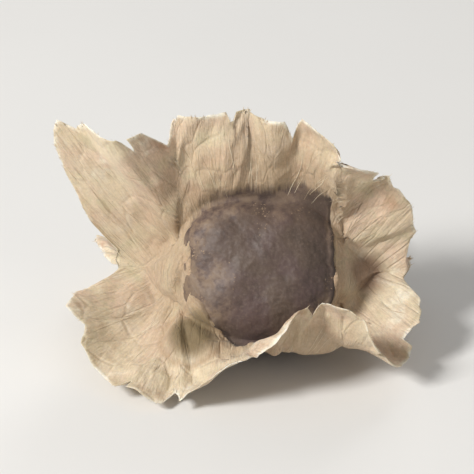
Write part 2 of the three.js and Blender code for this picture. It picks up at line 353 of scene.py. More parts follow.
# Millimetres along the coat's surface from the hull's middle, walked in steps of 0.01 mm
def surfacePlace(x):
    steps = np.linspace(0, 12, 1201)
    walked = []
    for side in (-1, 1):
        radius = withNeck(middleRadius * hullProfile(side * steps), steps - hullLength(side * steps))
        lengths = np.cumsum(np.hypot(np.diff(steps), np.diff(radius)))
        walked.append(side * np.interp(np.abs(x), steps[1:], lengths))
    return np.where(x < 0, walked[0], walked[1])


# The angle between the two wings beside a face
def faceGap(face):
    return radians((wings[(face + 1) % 3]["azimuth"] - wings[face]["azimuth"]) % 360)


# Millimetres round the hull from the middle of a face to its wings
def halfFace(face, x):
    return faceGap(face) / 2 * middleRadius * hullProfile(x)


# Distance from a closed outline, less than 0 inside it
def outlineDistance(corners, x, y):
    nearest = np.full(np.shape(x), np.inf)
    inside = np.zeros(np.shape(x), dtype=bool)
    for (x0, y0), (x1, y1) in zip(corners, corners[1:] + corners[:1]):
        alongX, alongY = x1 - x0, y1 - y0
        t = np.clip(((x - x0) * alongX + (y - y0) * alongY) / (alongX ** 2 + alongY ** 2), 0, 1)
        nearest = np.minimum(nearest, np.hypot(x - x0 - t * alongX, y - y0 - t * alongY))
        if y0 != y1:
            inside ^= ((y0 > y) != (y1 > y)) & (x < x0 + alongX * (y - y0) / alongY)
    return np.where(inside, -nearest, nearest)


# How far a place lies inside the coat's ragged margin, in millimetres, less than 0 where the
# hull is bare, and how crisp and lifted the margin is there, from 0 to 1
def coverage(face, x, y):
    values = windows[face]
    x = surfacePlace(x)
    wander = 0
    for i, (size, share, crisp) in enumerate(margins["wander"]):
        wander = wander + share * randomField(x, y, size, values["seed"] + i, crisp)
    margin = outlineDistance(values["bare"], x, y) + values["ragged"] * wander
    towards = radians(values["lifted"])
    facing = (x * cos(towards) + y * sin(towards)) / np.maximum(np.hypot(x, y), 0.1)
    size, height = margins["facingWander"]
    lifted = smoothStep(*margins["facing"], facing + height * randomField(x, y, size, values["seed"] + 3))
    return margin * mix(margins["softScale"], 1, lifted), lifted


# 0 on the bare hull and 1 under the coat
def covered(margin):
    return smoothStep(-margins["soft"], margins["soft"], margin)


# How far a pleated wing stands off its plane at a place round the fan
def pleatLift(pleats, place):
    places, lifts = np.array(pleats).T
    i = np.searchsorted(places[1:-1], place)
    t = (place - places[i]) / (places[i + 1] - places[i])
    return mix(lifts[i], lifts[i + 1], mix(t, smoothStep(0, 1, t), fanShape["roundness"]))


# Degrees round the fan of pleats, 90 at the hull's middle
def fanPlace(x, r):
    hub = np.clip(x, -fanShape["hubX"], fanShape["hubX"])
    return 90 + hub * fanShape["turnBetween"] + np.degrees(np.arctan2(x - hub, r + fanShape["hubDepth"]))


# Millimetres across the rays of the fan, for folds and fibres
def acrossRays(x, r):
    return radians(1) * fanPlace(x, r) * fanShape["rayRadius"]


# How far the facets of crumpled paper rise, all sizes together
def facetLift(u, v, seed):
    lift = 0
    for i, (size, height) in enumerate(paper["facets"]):
        lift = lift + height * crumpled(u, v, size, seed + 7 * i)
    return lift


# The middle of a wing before it is crumpled
def wingSheet(wing, x, r):
    outward = aside = 0
    step = r / paper["turnSteps"]
    for i in range(paper["turnSteps"]):
        turned = 0
        for creaseX, creaseR, spreadX, spreadR, turn in wing["creases"]:
            reached = smoothStep(creaseR - spreadR, creaseR + spreadR, (i + 0.5) * step)
            turned = turned + turn * reached * bump(x, creaseX, spreadX)
        outward = outward + np.cos(np.radians(turned)) * step
        aside = aside + np.sin(np.radians(turned)) * step
    azimuth = radians(wing["azimuth"])
    free = freeWidth(azimuth, x, r)
    aside = aside + pleatLift(wing["pleats"], fanPlace(x, r)) * free ** 2 / (free + fanShape["softStart"])
    across, up = cos(azimuth), sin(azimuth)
    return np.stack([x, outward * across - aside * up, outward * up + aside * across], -1)


def sheetNormals(wing, x, r):
    alongX = wingSheet(wing, x + small, r) - wingSheet(wing, x - small, r)
    alongR = wingSheet(wing, x, r + small) - wingSheet(wing, x, r - small)
    return unit(np.cross(alongX, alongR))


# For each row its x on hull or core, and the degrees at which it meets the torn edge
def rowStops():
    leftRows, hullRows, rightRows = paper["rows"]
    start, leftEnd, rightEnd, finish = paper["rowDegrees"]
    left = np.linspace(0, 1, leftRows, endpoint=False)
    middle = np.linspace(0, 1, hullRows + 1)
    right = np.linspace(0, 1, rightRows + 1)[1:]
    fine = np.linspace(-hullShape["leftLength"], hullShape["rightLength"], 2001)
    walked = surfacePlace(fine)
    x = np.concatenate([
        -mix(hullShape["coreLeft"], hullShape["leftLength"], left),
        np.interp(mix(walked[0], walked[-1], middle), walked, fine),  # even steps along the surface
        mix(hullShape["rightLength"], hullShape["coreRight"], right),
    ])
    parts = [mix(start, leftEnd, left), mix(leftEnd, rightEnd, middle), mix(rightEnd, finish, right)]
    return x, np.concatenate(parts)


# Where each row meets the wing's torn edge: the outline, less its teeth and tears
def tornEdge(wing, degrees):
    corners = np.array(wing["outline"])
    around = np.degrees(np.arctan2(corners[:, 1], -corners[:, 0]))
    places = degrees.copy()
    free = 1
    for corner in around[1:-1]:  # each corner is taken by the row nearest to it
        while abs(places[free + 1] - corner) < abs(places[free] - corner):
            free += 1
        places[free] = corner
        free += 1
    i = np.searchsorted(around[1:-1], places)
    start, along = corners[i], corners[i + 1] - corners[i]
    awayX, awayR = -np.cos(np.radians(places)), np.sin(np.radians(places))
    reach = start[:, 0] * along[:, 1] - start[:, 1] * along[:, 0]
    reach = reach / (awayX * along[:, 1] - awayR * along[:, 0])
    edgeMm = np.radians(places) * paper["edgeRadius"]
    for k, (size, depth) in enumerate(paper["teeth"]):
        seed = seeds["teeth"] + 5 * k + wings.index(wing)
        teeth = randomField(edgeMm, 0 * edgeMm, size, seed, crisp=True)
        reach = reach - depth * (teeth + 1) / 2 * smoothStep(0, paper["teethOver"], reach)
    for place, width, depth in wing["tears"]:
        reach = reach - depth * np.maximum(1 - np.abs(places - place) / width, 0) ** paper["tearTaper"]
    return reach * awayX, reach * awayR


# The section of a fillet along each row, from its start angle, and of the wing after it
def filletSection(fillet, start, length):
    angle = mix(start[:, None], pi / 2, np.linspace(0, 1, paper["filletSteps"], endpoint=False))
    turn = np.minimum(fillet * np.cos(start), length / 3)
    onFillet = turn[:, None] * (1 - np.cos(angle) / np.cos(start)[:, None])
    onWing = turn[:, None] + (length - turn)[:, None] * np.linspace(0, 1, paper["wingSteps"] + 1)
    off = np.hstack([fillet[:, None] * (1 - np.sin(angle)), 0 * onWing])
    return np.hstack([onFillet, onWing]) / length[:, None], off


# One flank of a wing from its root on the hull to its torn edge
def makeFlank(k, x, edgeX, edgeR, side):
    wing = wings[k]
    face = k if side > 0 else (k + 2) % 3
    gap = faceGap(face)
    azimuth = wingAzimuth(k)
    half = paper["halfThickness"]
    rootRadius = coatRadius(x, 0, azimuth)
    hullShare = smoothStep(0, paper["tailRadius"][0], rootRadius)[:, None]  # 0 on the tails
    # over the hull
    rootOff = half + paper["rootFillet"]
    # the angle that root and fillet take up, kept within bounds where the hull ends
    lead = np.arcsin(np.minimum(rootOff / np.maximum(rootRadius, 0.1), 0.9))
    rootMargin, _ = coverage(face, x, side * (rootOff - halfFace(face, x)))
    over = mix(paper["overBare"], paper["overHull"], covered(rootMargin))
    radius = coatRadius(x, lead / gap, azimuth + side * lead) + over
    hullRootR = np.sqrt(np.maximum(radius ** 2 - rootOff ** 2, 0))
    # on the tails
    past = np.clip((np.abs(x) - hullLength(x)) / (hullShape["coreLeft"] - hullLength(x)), 0, 1)
    tailFillet = mix(*paper["tailFillets"], past)
    start = gap / 2 + radians(paper["tailStart"]) + 0 * x
    tailRootR = (half + tailFillet) / np.tan(gap / 2) - tailFillet * np.cos(start)
    rootR = blended(hullRootR, tailRootR)
    length = np.hypot(edgeX - x, edgeR - rootR)
    tailShare, tailOff = filletSection(tailFillet, start, length)
    hullSection, hullOff = filletSection(paper["rootFillet"] + 0 * x, 0 * x, length)
    share, off = mix(tailShare, hullSection, hullShare), mix(tailOff, hullOff, hullShare)
    toEdge = (1 - share) * length[:, None]
    off = off + mix(paper["rimHalfThickness"], half, smoothStep(0, paper["rimTaper"], toEdge))
    alongX = mix(x[:, None], edgeX[:, None], share)
    alongR = mix(rootR[:, None], edgeR[:, None], share)
    middle = wingSheet(wing, alongX, alongR)
    across, free = acrossRays(alongX, alongR), freeWidth(azimuth, alongX, alongR)
    margin, lifted = coverage(face, alongX, side * (rootOff - free - halfFace(face, alongX)))
    lip = margins["wingLip"] * (margins["wingLipLeast"] + lifted)
    lip = lip * bump(margin, margins["wingLipAt"], margins["wingLipWidth"])
    off = off + lip * smoothStep(0, margins["lipStart"], free)
    folds = across + paper["facetApart"] * k
    lift = facetLift(folds, free * paper["facetStretch"], seeds["wingFacets"])
    nearEdge = np.maximum(1 - toEdge / paper["curlWidth"], 0) ** 2
    edgeCurl = randomField(folds, 0 * folds, paper["curlEvery"], seeds["curl"])
    lift = lift + paper["curl"] * edgeCurl * nearEdge
    lift = lift * smoothStep(0, paper["facetStart"], free)
    points = middle + sheetNormals(wing, alongX, alongR) * (lift + off * side)[..., None]
    return {"points": points, "across": across, "free": free, "toEdge": toEdge,
            "margin": margin, "lifted": lifted, "alongX": alongX}


# Where the hull is bare and where the coat covers it; share is 0 at one wing and 1 at the next
def hullCoverage(x, face, share):
    radius = hullRadius(x, share, wingAzimuth(face) + share * faceGap(face))
    fromWing = np.minimum(share, 1 - share) * faceGap(face) * radius
    fromWing = fromWing - paper["rootFillet"] - paper["halfThickness"]
    margin, lifted = coverage(face, x, (2 * share - 1) * halfFace(face, x))
    return margin, lifted, fromWing


# The coat over one face of the hull, from the root of one wing to the root of the next
def makeFace(face, x, leaving, arriving):
    gap = faceGap(face)
    first, last = leaving["points"][:, 0], arriving["points"][:, 0]
    start = np.arctan2(first[:, 2], first[:, 1])
    lead = (start - wingAzimuth(face)) % (2 * pi)
    spread = (np.arctan2(last[:, 2], last[:, 1]) - start) % (2 * pi)
    t = np.linspace(0, 1, paper["faceSteps"] + 1)[1:-1]
    t = t - paper["crowding"] / (2 * pi) * np.sin(2 * pi * t)
    azimuth = start[:, None] + spread[:, None] * t
    share = (lead[:, None] + spread[:, None] * t) / gap
    alongX = x[:, None] + 0 * t
    margin, lifted, fromWing = hullCoverage(alongX, face, share)
    clear = smoothStep(0, margins["lipStart"], fromWing)
    over = margins["lip"] * lifted * clear * bump(margin, margins["lipAt"], margins["lipWidth"])
    lift = facetLift(share * gap * hullShape["faceRadius"], alongX, seeds["faceFacets"] + face)
    lift = paper["faceFacets"] * (lift + paper["faceFacetRaise"])
    over = over + lift * clear * smoothStep(*paper["faceFacetFrom"], margin)
    sunk = mix(paper["overBare"], -paper["underHull"], smoothStep(0, paper["sinkOver"], fromWing))
    above = mix(sunk - paper["overHull"], over, covered(margin))
    slope = coatRadius(alongX + small, share, azimuth) - coatRadius(alongX - small, share, azimuth)
    slope = np.clip(slope / (2 * small), -paper["steepest"], paper["steepest"])
    above = above / np.hypot(1, slope)  # along the surface's normal
    hullPart = np.maximum(coatRadius(alongX, share, azimuth) + paper["overHull"] + above, 0)
    fromAxis = np.hypot(first[:, 1:2], first[:, 2:]) * (1 - t) + np.hypot(last[:, 1:2], last[:, 2:]) * t
    radius = blended(hullPart, fromAxis * (1 - smoothStep(0, paper["tailRadius"][1], hullPart)))
    pastHull = smoothStep(*paper["footFrom"], np.abs(x) - hullLength(x))[:, None]
    foot = paper["footShare"]
    radius = radius + pastHull * (fromAxis[:, :1] - radius[:, :1]) * smoothStep(foot, 0, t)
    radius = radius + pastHull * (fromAxis[:, -1:] - radius[:, -1:]) * smoothStep(1 - foot, 1, t)
    points = np.stack([alongX - above * slope, radius * np.cos(azimuth), radius * np.sin(azimuth)], -1)
    nearWing = np.minimum(share, 1 - share) * gap * radius
    slant = smoothStep(*paper["slantFrom"], np.abs(alongX) / hullLength(alongX))
    slant = paper["fibreSlant"] * np.sign(alongX) * slant
    across = acrossRays(alongX, radius) - slant * nearWing
    toEdge = np.full_like(radius, 9)  # far from any torn edge
    return {"points": points, "across": across, "free": -nearWing, "toEdge": toEdge,
            "margin": margin, "lifted": lifted, "alongX": alongX}


def joined(parts, key):
    return np.concatenate([part[key] for part in parts], axis=1)


# Lets the coat run smoothly from the hull's ends and the wings' feet into the tails
def relaxed(points, alongX, free):
    past = np.abs(alongX) - hullLength(alongX)
    loose = smoothStep(*paper["relaxFrom"], past) * smoothStep(*paper["relaxTo"], past)
    loose = loose * smoothStep(paper["relaxWidth"], paper["relaxWidth"] / 2, free)
    loose[[0, -1]] = 0
    for _ in range(paper["relaxRounds"]):
        beside = np.roll(points, 1, axis=1) + np.roll(points, -1, axis=1)
        between = np.roll(points, 1, axis=0) + np.roll(points, -1, axis=0)
        points = mix(points, (beside + between) / 4, paper["relaxStrength"] * loose[..., None])
    return points


# Quads between the rows, and a fan to a tip point at each end. Rows are closed loops.
def skinFaces(rowCount, around):
    row, i = np.meshgrid(np.arange(rowCount - 1), np.arange(around), indexing="ij")
    a, b = row * around + i, row * around + (i + 1) % around
    quads = np.stack([a, b, b + around, a + around], -1).reshape(-1, 4).tolist()
    leftTip, rightTip = rowCount * around, rowCount * around + 1
    last = (rowCount - 1) * around
    for k in range(around):
        after = (k + 1) % around
        quads.append([leftTip, after, k])
        quads.append([rightTip, last + k, last + after])
    return quads


# One number or one vector for each point
def addAttribute(mesh, name, values):
    kind, slot = ("FLOAT", "value") if values.ndim == 1 else ("FLOAT_VECTOR", "vector")
    layer = mesh.attributes.new(name, kind, "POINT")
    layer.data.foreach_set(slot, values.astype(np.float32).ravel())


def addUv(mesh, name, u, v):
    corners = np.empty(len(mesh.loops), dtype=int)
    mesh.loops.foreach_get("vertex_index", corners)
    layer = mesh.uv_layers.new(name=name)
    layer.data.foreach_set("uv", np.stack([u[corners], v[corners]], -1).astype(np.float32).ravel())


def addObject(name, data):
    made = bpy.data.objects.new(name, data)
    bpy.context.collection.objects.link(made)
    return made


def makeObject(name, points, faces, material):
    mesh = bpy.data.meshes.new(name)
    mesh.from_pydata(points.tolist(), [], faces)
    mesh.materials.append(material)
    mesh.shade_smooth()
    return addObject(name, mesh)


# The coat and its wings are one closed skin
def makePaperCoat(material):
    x, degrees = rowStops()
    edges = [tornEdge(wing, degrees) for wing in wings]
    leaving, arriving = ([makeFlank(k, x, *edges[k], side) for k in range(3)] for side in (1, -1))
    keys = ("across", "free", "toEdge", "margin", "lifted", "alongX")
    parts = []
    for k in range(3):
        after = arriving[(k + 1) % 3]
        outwards = unit(leaving[k]["points"][:, -1] - leaving[k]["points"][:, -2])
        edgeMiddle = (leaving[k]["points"][:, -1] + arriving[k]["points"][:, -1]) / 2
        rim = {key: leaving[k][key][:, -1:] for key in keys}
        rim["points"] = (edgeMiddle + outwards * paper["rimHalfThickness"])[:, None]
        backwards = {key: values[:, ::-1] for key, values in leaving[k].items()}
        parts += [rim, backwards, makeFace(k, x, leaving[k], after), after]
    whole = {key: joined(parts, key) for key in keys}
    points = relaxed(joined(parts, "points"), whole["alongX"], whole["free"])
    rowCount, around = points.shape[:2]
    swell, stain = np.zeros((rowCount, around)), np.zeros((rowCount, around))
    for placeX, placeY, placeZ, radius, height, azimuth in swellings:
        towards = np.array([0, cos(radians(azimuth)), sin(radians(azimuth))])
        away = (points - [placeX, placeY, placeZ]) / radius
        along = away @ towards
        aside = np.linalg.norm(away - along[..., None] * towards, axis=-1)
        rise = np.exp(-aside ** swellingShape["steepness"]) * bump(along, 0, swellingShape["depth"])
        swell = swell + rise
        points = points + towards * (height * rise)[..., None]
    # reddish stains that also paint shade into the crotches between wings
    for placeX, placeY, placeZ, radius, strength in stains:
        away = np.linalg.norm(points - [placeX, placeY, placeZ], axis=-1)
        stain = stain + strength * bump(away, 0, radius)
    whole.update(swell=swell, stain=stain)
    tips = [[-hullShape["coreLeft"] - hullShape["coreTip"], 0, 0],
            [hullShape["coreRight"] + hullShape["coreTip"], 0, 0]]
    points = placed(np.vstack([points.reshape(-1, 3), tips]))
    coat = makeObject("paperyCoat", points, skinFaces(rowCount, around), material)
    flat = {key: np.append(values.ravel(), [values[0].mean(), values[-1].mean()])
            for key, values in whole.items()}
    addUv(coat.data, "rays", flat["across"] * 0.1, flat["free"] * 0.1)  # in centimetres
    for key in ("toEdge", "margin", "lifted", "swell", "stain"):
        addAttribute(coat.data, key, flat[key])
    return coat, leaving, arriving


# The hull's surface, in rows from its left end to its right one
seedHull = {
    "rows": 200,
    "around": 330,
    "dimple": 0.13,  # broad shallow dents
    "dimpleSize": 2.3,
    "wrinkle": 0.07,
    "wrinkleSize": 1.0,
    "grain": 0.016,
    "grainSize": 0.2,
    "underCoat": (0.7, 0.6),  # how much of this relief the coat takes, over which width
    "atWings": (0.3, 0.1, 0.9),  # what is left of it there, and from where to where it fades
    "scurfFrom": (-1.3, -0.1),  # flakes of coat cling to the hull near the coat's margin
    "scurfTo": (0.25, 0.1),
    "scurfMost": 0.2,  # none lie further than this under the coat
    "scurfPatch": 1.4,
    "scurfThins": (0, 0.6),  # from none to all, by the height of the patches' random field
    "scurfRadius": 5,  # turns angles round the axis into millimetres
}


def wrinkleNoise(place):
    return noise.fractal(place, 0.9, 2.1, 4, noise_basis="PERLIN_ORIGINAL")


def noiseOver(points, size, makeNoise):
    places = (points.reshape(-1, 3) / size).tolist()
    return np.array([makeNoise(place) for place in places]).reshape(points.shape[:-1])


def makeSeedHull(material):
    middle = np.linspace(0, 1, seedHull["rows"] + 2)[1:-1]
    fromMiddle = -np.cos(pi * middle)
    x = (fromMiddle * hullLength(fromMiddle))[:, None] + np.zeros(seedHull["around"])
    azimuth = np.linspace(0, 2 * pi, seedHull["around"], endpoint=False) + 0 * x
    found = [0 * x] * 4
    for face in range(3):
        share = ((azimuth - wingAzimuth(face)) % (2 * pi)) / faceGap(face)
        here = (hullRadius(x, share, azimuth), *hullCoverage(x, face, np.minimum(share, 1)))
        found = [np.where(share < 1, new, old) for new, old in zip(here, found)]
    radius, margin, lifted, fromWing = found
    points = np.stack([x, radius * np.cos(azimuth), radius * np.sin(azimuth)], -1)
    relief = seedHull["wrinkle"] * noiseOver(points, seedHull["wrinkleSize"], wrinkleNoise)
    relief = relief + seedHull["grain"] * noiseOver(points, seedHull["grainSize"], noise.noise)
    dimples = np.abs(noiseOver(points, seedHull["dimpleSize"], noise.noise))
    relief = relief - seedHull["dimple"] * dimples
    taken, takenOver = seedHull["underCoat"]
    least, fadeFrom, fadeTo = seedHull["atWings"]
    relief = relief * (1 - taken * smoothStep(0, takenOver, margin))
    relief = relief * mix(least, 1, smoothStep(fadeFrom, fadeTo, fromWing))
    groove = margins["groove"] * lifted * smoothStep(0, margins["lipStart"], fromWing)
    relief = relief - groove * bump(margin, margins["grooveAt"], margins["grooveWidth"])
    normals = unit(np.cross(np.gradient(points, axis=0), np.gradient(points, axis=1)))
    points = points + normals * relief[..., None]
    tips = [[-hullShape["leftLength"], 0, 0], [hullShape["rightLength"], 0, 0]]
    hull = makeObject("seedHull", placed(np.vstack([points.reshape(-1, 3), tips])),
                      skinFaces(*x.shape), material)
    scurfy = smoothStep(*seedHull["scurfFrom"], margin) * smoothStep(*seedHull["scurfTo"], margin)
    around = azimuth * seedHull["scurfRadius"]
    patches = randomField(x, around, seedHull["scurfPatch"], seeds["scurf"])
    scurfy = scurfy * smoothStep(*seedHull["scurfThins"], patches) * (margin < seedHull["scurfMost"])
    for name, values, atTips in (("margin", margin, 1), ("lifted", lifted, 0), ("scurf", scurfy, 0)):
        addAttribute(hull.data, name, np.append(values.ravel(), [atTips, atTips]))
    return hull


# Adds a node and returns its first output, or the one that is asked for. Inputs and outputs go
# by name, or by number where names repeat.
def addNode(tree, kind, inputs=None, output=0, **settings):
    made = tree.nodes.new(kind)
    for name, value in settings.items():
        setattr(made, name, value)
    for name, value in (inputs or {}).items():
        if isinstance(value, bpy.types.NodeSocket):
            tree.links.new(value, made.inputs[name])
        else:
            made.inputs[name].default_value = value
    return made.outputs[output] if made.outputs else None


# A colour written as 0 to 255, as the shader takes it
def paint(red, green, blue):
    parts = np.array([red, green, blue]) / 255
    linear = np.where(parts <= 0.04045, parts / 12.92, ((parts + 0.055) / 1.055) ** 2.4)
    return (*linear.tolist(), 1.0)


def mixPaint(tree, factor, first, second, blend="MIX"):
    inputs = {0: factor, 6: first, 7: second}
    return addNode(tree, "ShaderNodeMix", inputs, 2, data_type="RGBA", blend_type=blend)


def doMath(tree, operation, first, second=0.0):
    return addNode(tree, "ShaderNodeMath", {0: first, 1: second}, operation=operation)


def times(tree, first, second):
    return doMath(tree, "MULTIPLY", first, second)


def plus(tree, first, second):
    return doMath(tree, "ADD", first, second)


# A noise as unevenness round 0
def uneven(tree, noiseValue, strength):
    return times(tree, doMath(tree, "SUBTRACT", noiseValue, 0.5), strength)


# 0 below start, 1 above end, smooth between
def ramp(tree, value, start, end):
    inputs = {"Value": value, "From Min": start, "From Max": end}
    return addNode(tree, "ShaderNodeMapRange", inputs, interpolation_type="SMOOTHSTEP")


# From low where the value is 0 to high where it is 1
def scaled(tree, value, low, high):
    return addNode(tree, "ShaderNodeMapRange", {"Value": value, "To Min": low, "To Max": high})


# scale: cells for each metre of object places, or for each unit of a stretched vector
def noiseFac(tree, vector, scale, detail=3.0, roughness=0.5, distortion=0.0):
    inputs = {"Vector": vector, "Scale": scale, "Detail": detail, "Roughness": roughness}
    return addNode(tree, "ShaderNodeTexNoise", {**inputs, "Distortion": distortion}, "Fac")


def stretched(tree, vector, scale):
    return addNode(tree, "ShaderNodeMapping", {"Vector": vector, "Scale": scale})


def readAttribute(tree, name):
    return addNode(tree, "ShaderNodeAttribute", output="Fac", attribute_name=name)


def objectPlace(tree):
    return addNode(tree, "ShaderNodeTexCoord", output="Object")


# Lays colours over one another. Each layer: where it shows, how strongly, and its name in look.
def layered(tree, colour, look, layers):
    for factor, strength, name in layers:
        colour = mixPaint(tree, times(tree, factor, strength), colour, paint(*look[name]))
    return colour


def newMaterial(name):
    material = bpy.data.materials.new(name)
    material.use_nodes = True
    material.node_tree.nodes.clear()
    return material, material.node_tree


def finishMaterial(tree, colour, roughness, height, bumpMm, values):
    normal = addNode(tree, "ShaderNodeBump", {"Height": height, "Distance": bumpMm * mm, "Strength": 1.0})
    inputs = {"Base Color": colour, "Roughness": roughness, "Normal": normal}
    shader = addNode(tree, "ShaderNodeBsdfPrincipled", {**inputs, **values})
    addNode(tree, "ShaderNodeOutputMaterial", {"Surface": shader})


hullLook = {
    "brown": (92, 76, 65),
    "purple": (90, 72, 68),
    "dark": (66, 54, 46),
    "bloom": (118, 101, 88),
    "scurf": (152, 130, 104),
    # painted shade in the crevice under the coat's lifted margin
    "creviceShade": (52, 40, 33),
    "bump": 0.06,
}


# The hull's colour and relief, which also show through the coat's thin foot
def hullSurface(tree, place, margin):
    look = hullLook
    patches = noiseFac(tree, place, 330.0, 3.0, 0.55, 0.3)
    mottle = noiseFac(tree, place, 900.0, 5.0, 0.65)
    grain = noiseFac(tree, place, 5200.0, 3.0, 0.6)
    nearMargin = ramp(tree, plus(tree, margin, uneven(tree, patches, 4.0)), -0.9, 0.2)
    scurf = times(tree, nearMargin, ramp(tree, mottle, 0.38, 0.6))
    # painted shade: a dark line in the groove along the coat's lifted margin
    creviceShade = ramp(tree, doMath(tree, "ABSOLUTE", plus(tree, margin, 0.14)), 0.3, 0.1)
    colour = layered(tree, paint(*look["brown"]), look, [
        (ramp(tree, patches, 0.36, 0.64), 1, "purple"),
        (ramp(tree, mottle, 0.52, 0.3), 0.55, "dark"),
        (ramp(tree, grain, 0.46, 0.74), 0.45, "bloom"),
        (scurf, 0.55, "scurf"),  # left by the coat
        (times(tree, creviceShade, readAttribute(tree, "lifted")), 0.8, "creviceShade"),  # painted shade in the crevice under the coat's lifted margin
    ])
    return colour, plus(tree, times(tree, mottle, 0.9), times(tree, grain, 0.4))


def makeHullMaterial():
    material, tree = newMaterial("seed hull")
    colour, height = hullSurface(tree, objectPlace(tree), readAttribute(tree, "margin"))
    finishMaterial(tree, colour, 0.56, height, hullLook["bump"], {
        "Specular IOR Level": 0.45,
        "Sheen Weight": 0.1,
        "Sheen Roughness": 0.5,
    })
    return material


paperLook = {
    "cream": (222, 205, 175),
    "pale": (238, 227, 204),
    "pink": (219, 194, 168),
    "olive": (203, 191, 158),
    "tan": (176, 148, 117),
    "rust": (166, 116, 76),
    "speck": (124, 98, 74),
    "edge": (242, 233, 214),
    "swelling": (128, 110, 80),
    # reddish brown for the stains and the painted shade in the wings' crotches
    "stain": (118, 80, 58),
    "patchSize": 3.5,
    "bump": 0.07,
}


def makePaperMaterial():
    look = paperLook
    material, tree = newMaterial("papery wing")
    place = objectPlace(tree)
    rays = addNode(tree, "ShaderNodeTexCoord", output="UV")
    toEdge, margin, crisp, swell, stain = (
        readAttribute(tree, name) for name in ("toEdge", "margin", "lifted", "swell", "stain"))
    patches = noiseFac(tree, place, 1000 / look["patchSize"], 2.0, 0.6)
    tones = noiseFac(tree, place, 1800 / look["patchSize"], 3.0, 0.6, 0.4)
    streaks = noiseFac(tree, stretched(tree, rays, (60, 5, 1)), 1.0, 4.0, 0.65)
    fine = noiseFac(tree, stretched(tree, rays, (170, 18, 1)), 1.0, 3.0, 0.6)
    flecks = noiseFac(tree, stretched(tree, rays, (34, 15, 1)), 1.0, 5.0, 0.75)
    unevenTones = uneven(tree, tones, 3.6)
    foot = ramp(tree, plus(tree, margin, unevenTones), 2.4, 0.1)
    # painted shade in a ring round the foot of each swelling
    swellingShadeRing = times(tree, ramp(tree, swell, 0.06, 0.18), ramp(tree, swell, 0.4, 0.2))
    # stains with painted shade in the crotches between wings past the hull's ends
    stained = ramp(tree, plus(tree, stain, times(tree, unevenTones, 0.12)), 0.1, 0.85)
    rusty = times(tree, ramp(tree, patches, 0.6, 0.72), ramp(tree, toEdge, 2.4, 0.3))
    rim = times(tree, ramp(tree, toEdge, 0.35, 0.02), ramp(tree, tones, 0.62, 0.4))
    colour = layered(tree, paint(*look["cream"]), look, [
        (ramp(tree, patches, 0.4, 0.65), 1, "pink"),
        (ramp(tree, tones, 0.5, 0.72), 0.7, "olive"),
        (ramp(tree, tones, 0.48, 0.28), 1, "pale"),
        (ramp(tree, streaks, 0.42, 0.7), 0.36, "tan"),  # fibres along the rays
        (foot, 0.7, "tan"),  # towards the coat's margin
        (swellingShadeRing, 0.55, "tan"),  # painted shade round the swellings
        (ramp(tree, swell, 0.15, 0.9), 1, "swelling"),
        (stained, 0.75, "stain"),
        (rusty, 0.6, "rust"),  # at some places of the torn edge
        (ramp(tree, flecks, 0.66, 0.74), 0.6, "speck"),
        (rim, 1, "edge"),
    ])
    mottled = scaled(tree, noiseFac(tree, place, 4600.0, 3.0, 0.7), 0.7, 1.24)
    colour = mixPaint(tree, 1.0, colour, mottled, "MULTIPLY")
    creaseInputs = {"Vector": stretched(tree, rays, (11, 5, 1)), "Scale": 1.0}
    creases = addNode(tree, "ShaderNodeTexVoronoi", creaseInputs, "Distance", feature="DISTANCE_TO_EDGE")
    height = times(tree, ramp(tree, creases, 0.0, 0.1), 0.6)
    height = plus(tree, height, times(tree, streaks, 1.2))
    height = plus(tree, height, times(tree, fine, 0.8))
    # the hull's own surface where the coat is bare, with fibres that fray along the margin
    hullColour, hullHeight = hullSurface(tree, place, margin)
    frayed = uneven(tree, streaks, doMath(tree, "SUBTRACT", 0.5, times(tree, crisp, 0.25)))
    frayed = plus(tree, margin, plus(tree, frayed, times(tree, crisp, 0.05)))
    sharpness = plus(tree, times(tree, crisp, 1.2), 0.8)
    bare = ramp(tree, times(tree, frayed, sharpness), 0.14, -0.12)
    colour = mixPaint(tree, bare, colour, hullColour)
    heights = addNode(tree, "ShaderNodeMix", {0: bare, 2: height, 3: hullHeight}, data_type="FLOAT")
    finishMaterial(tree, colour, scaled(tree, streaks, 0.58, 0.84), heights, look["bump"], {
        "Specular IOR Level": 0.35,
        "Subsurface Weight": 0.2,
        "Subsurface Radius": (1.0, 0.75, 0.45),
        "Subsurface Scale": 0.25 * mm,
        "Sheen Weight": 0.1,
        "Sheen Roughness": 0.5,
    })
    return material


# Fibres, torn shreds and flakes, which have no rays of their own to follow
fibreLook = {"pale": (226, 212, 185), "tan": (188, 165, 134)}
scurfLook = {"pale": (158, 136, 112), "tan": (122, 102, 86)}


def makeFibreMaterial(name, look):
    material, tree = newMaterial(name)
    place = objectPlace(tree)
    tones = noiseFac(tree, place, 900.0, 3.0, 0.6)
    grain = noiseFac(tree, place, 6000.0, 2.0, 0.6)
    colour = layered(tree, paint(*look["pale"]), look, [(ramp(tree, tones, 0.35, 0.65), 1, "tan")])
    finishMaterial(tree, colour, 0.75, grain, 0.01, {"Specular IOR Level": 0.3})
    return material


# A Geometry Nodes tree with named inputs for the values that it will run with
def newTree(name, values):
    tree = bpy.data.node_groups.new(name, "GeometryNodeTree")
    tree.interface.new_socket("Geometry", in_out="INPUT", socket_type="NodeSocketGeometry")
    for inputName, value in values.items():
        kind = "NodeSocketInt" if isinstance(value, int) else "NodeSocketFloat"
        tree.interface.new_socket(inputName, in_out="INPUT", socket_type=kind)
    tree.interface.new_socket("Geometry", in_out="OUTPUT", socket_type="NodeSocketGeometry")
    return tree, tree.nodes.new("NodeGroupInput").outputs


def namedValue(tree, name, kind="FLOAT"):
    return addNode(tree, "GeometryNodeInputNamedAttribute", {"Name": name}, data_type=kind)


def randomVector(tree, seed, low, high=(1, 1, 1)):
    inputs = {"Seed": seed, "Min": low, "Max": high}
    return addNode(tree, "FunctionNodeRandomValue", inputs, data_type="FLOAT_VECTOR")


def scattered(tree, given, points, instance, rotation, smallest):
    return addNode(tree, "GeometryNodeInstanceOnPoints", {
        "Points": points, "Instance": instance, "Rotation": rotation,
        "Scale": randomVector(tree, given["Seed"], smallest),
    })


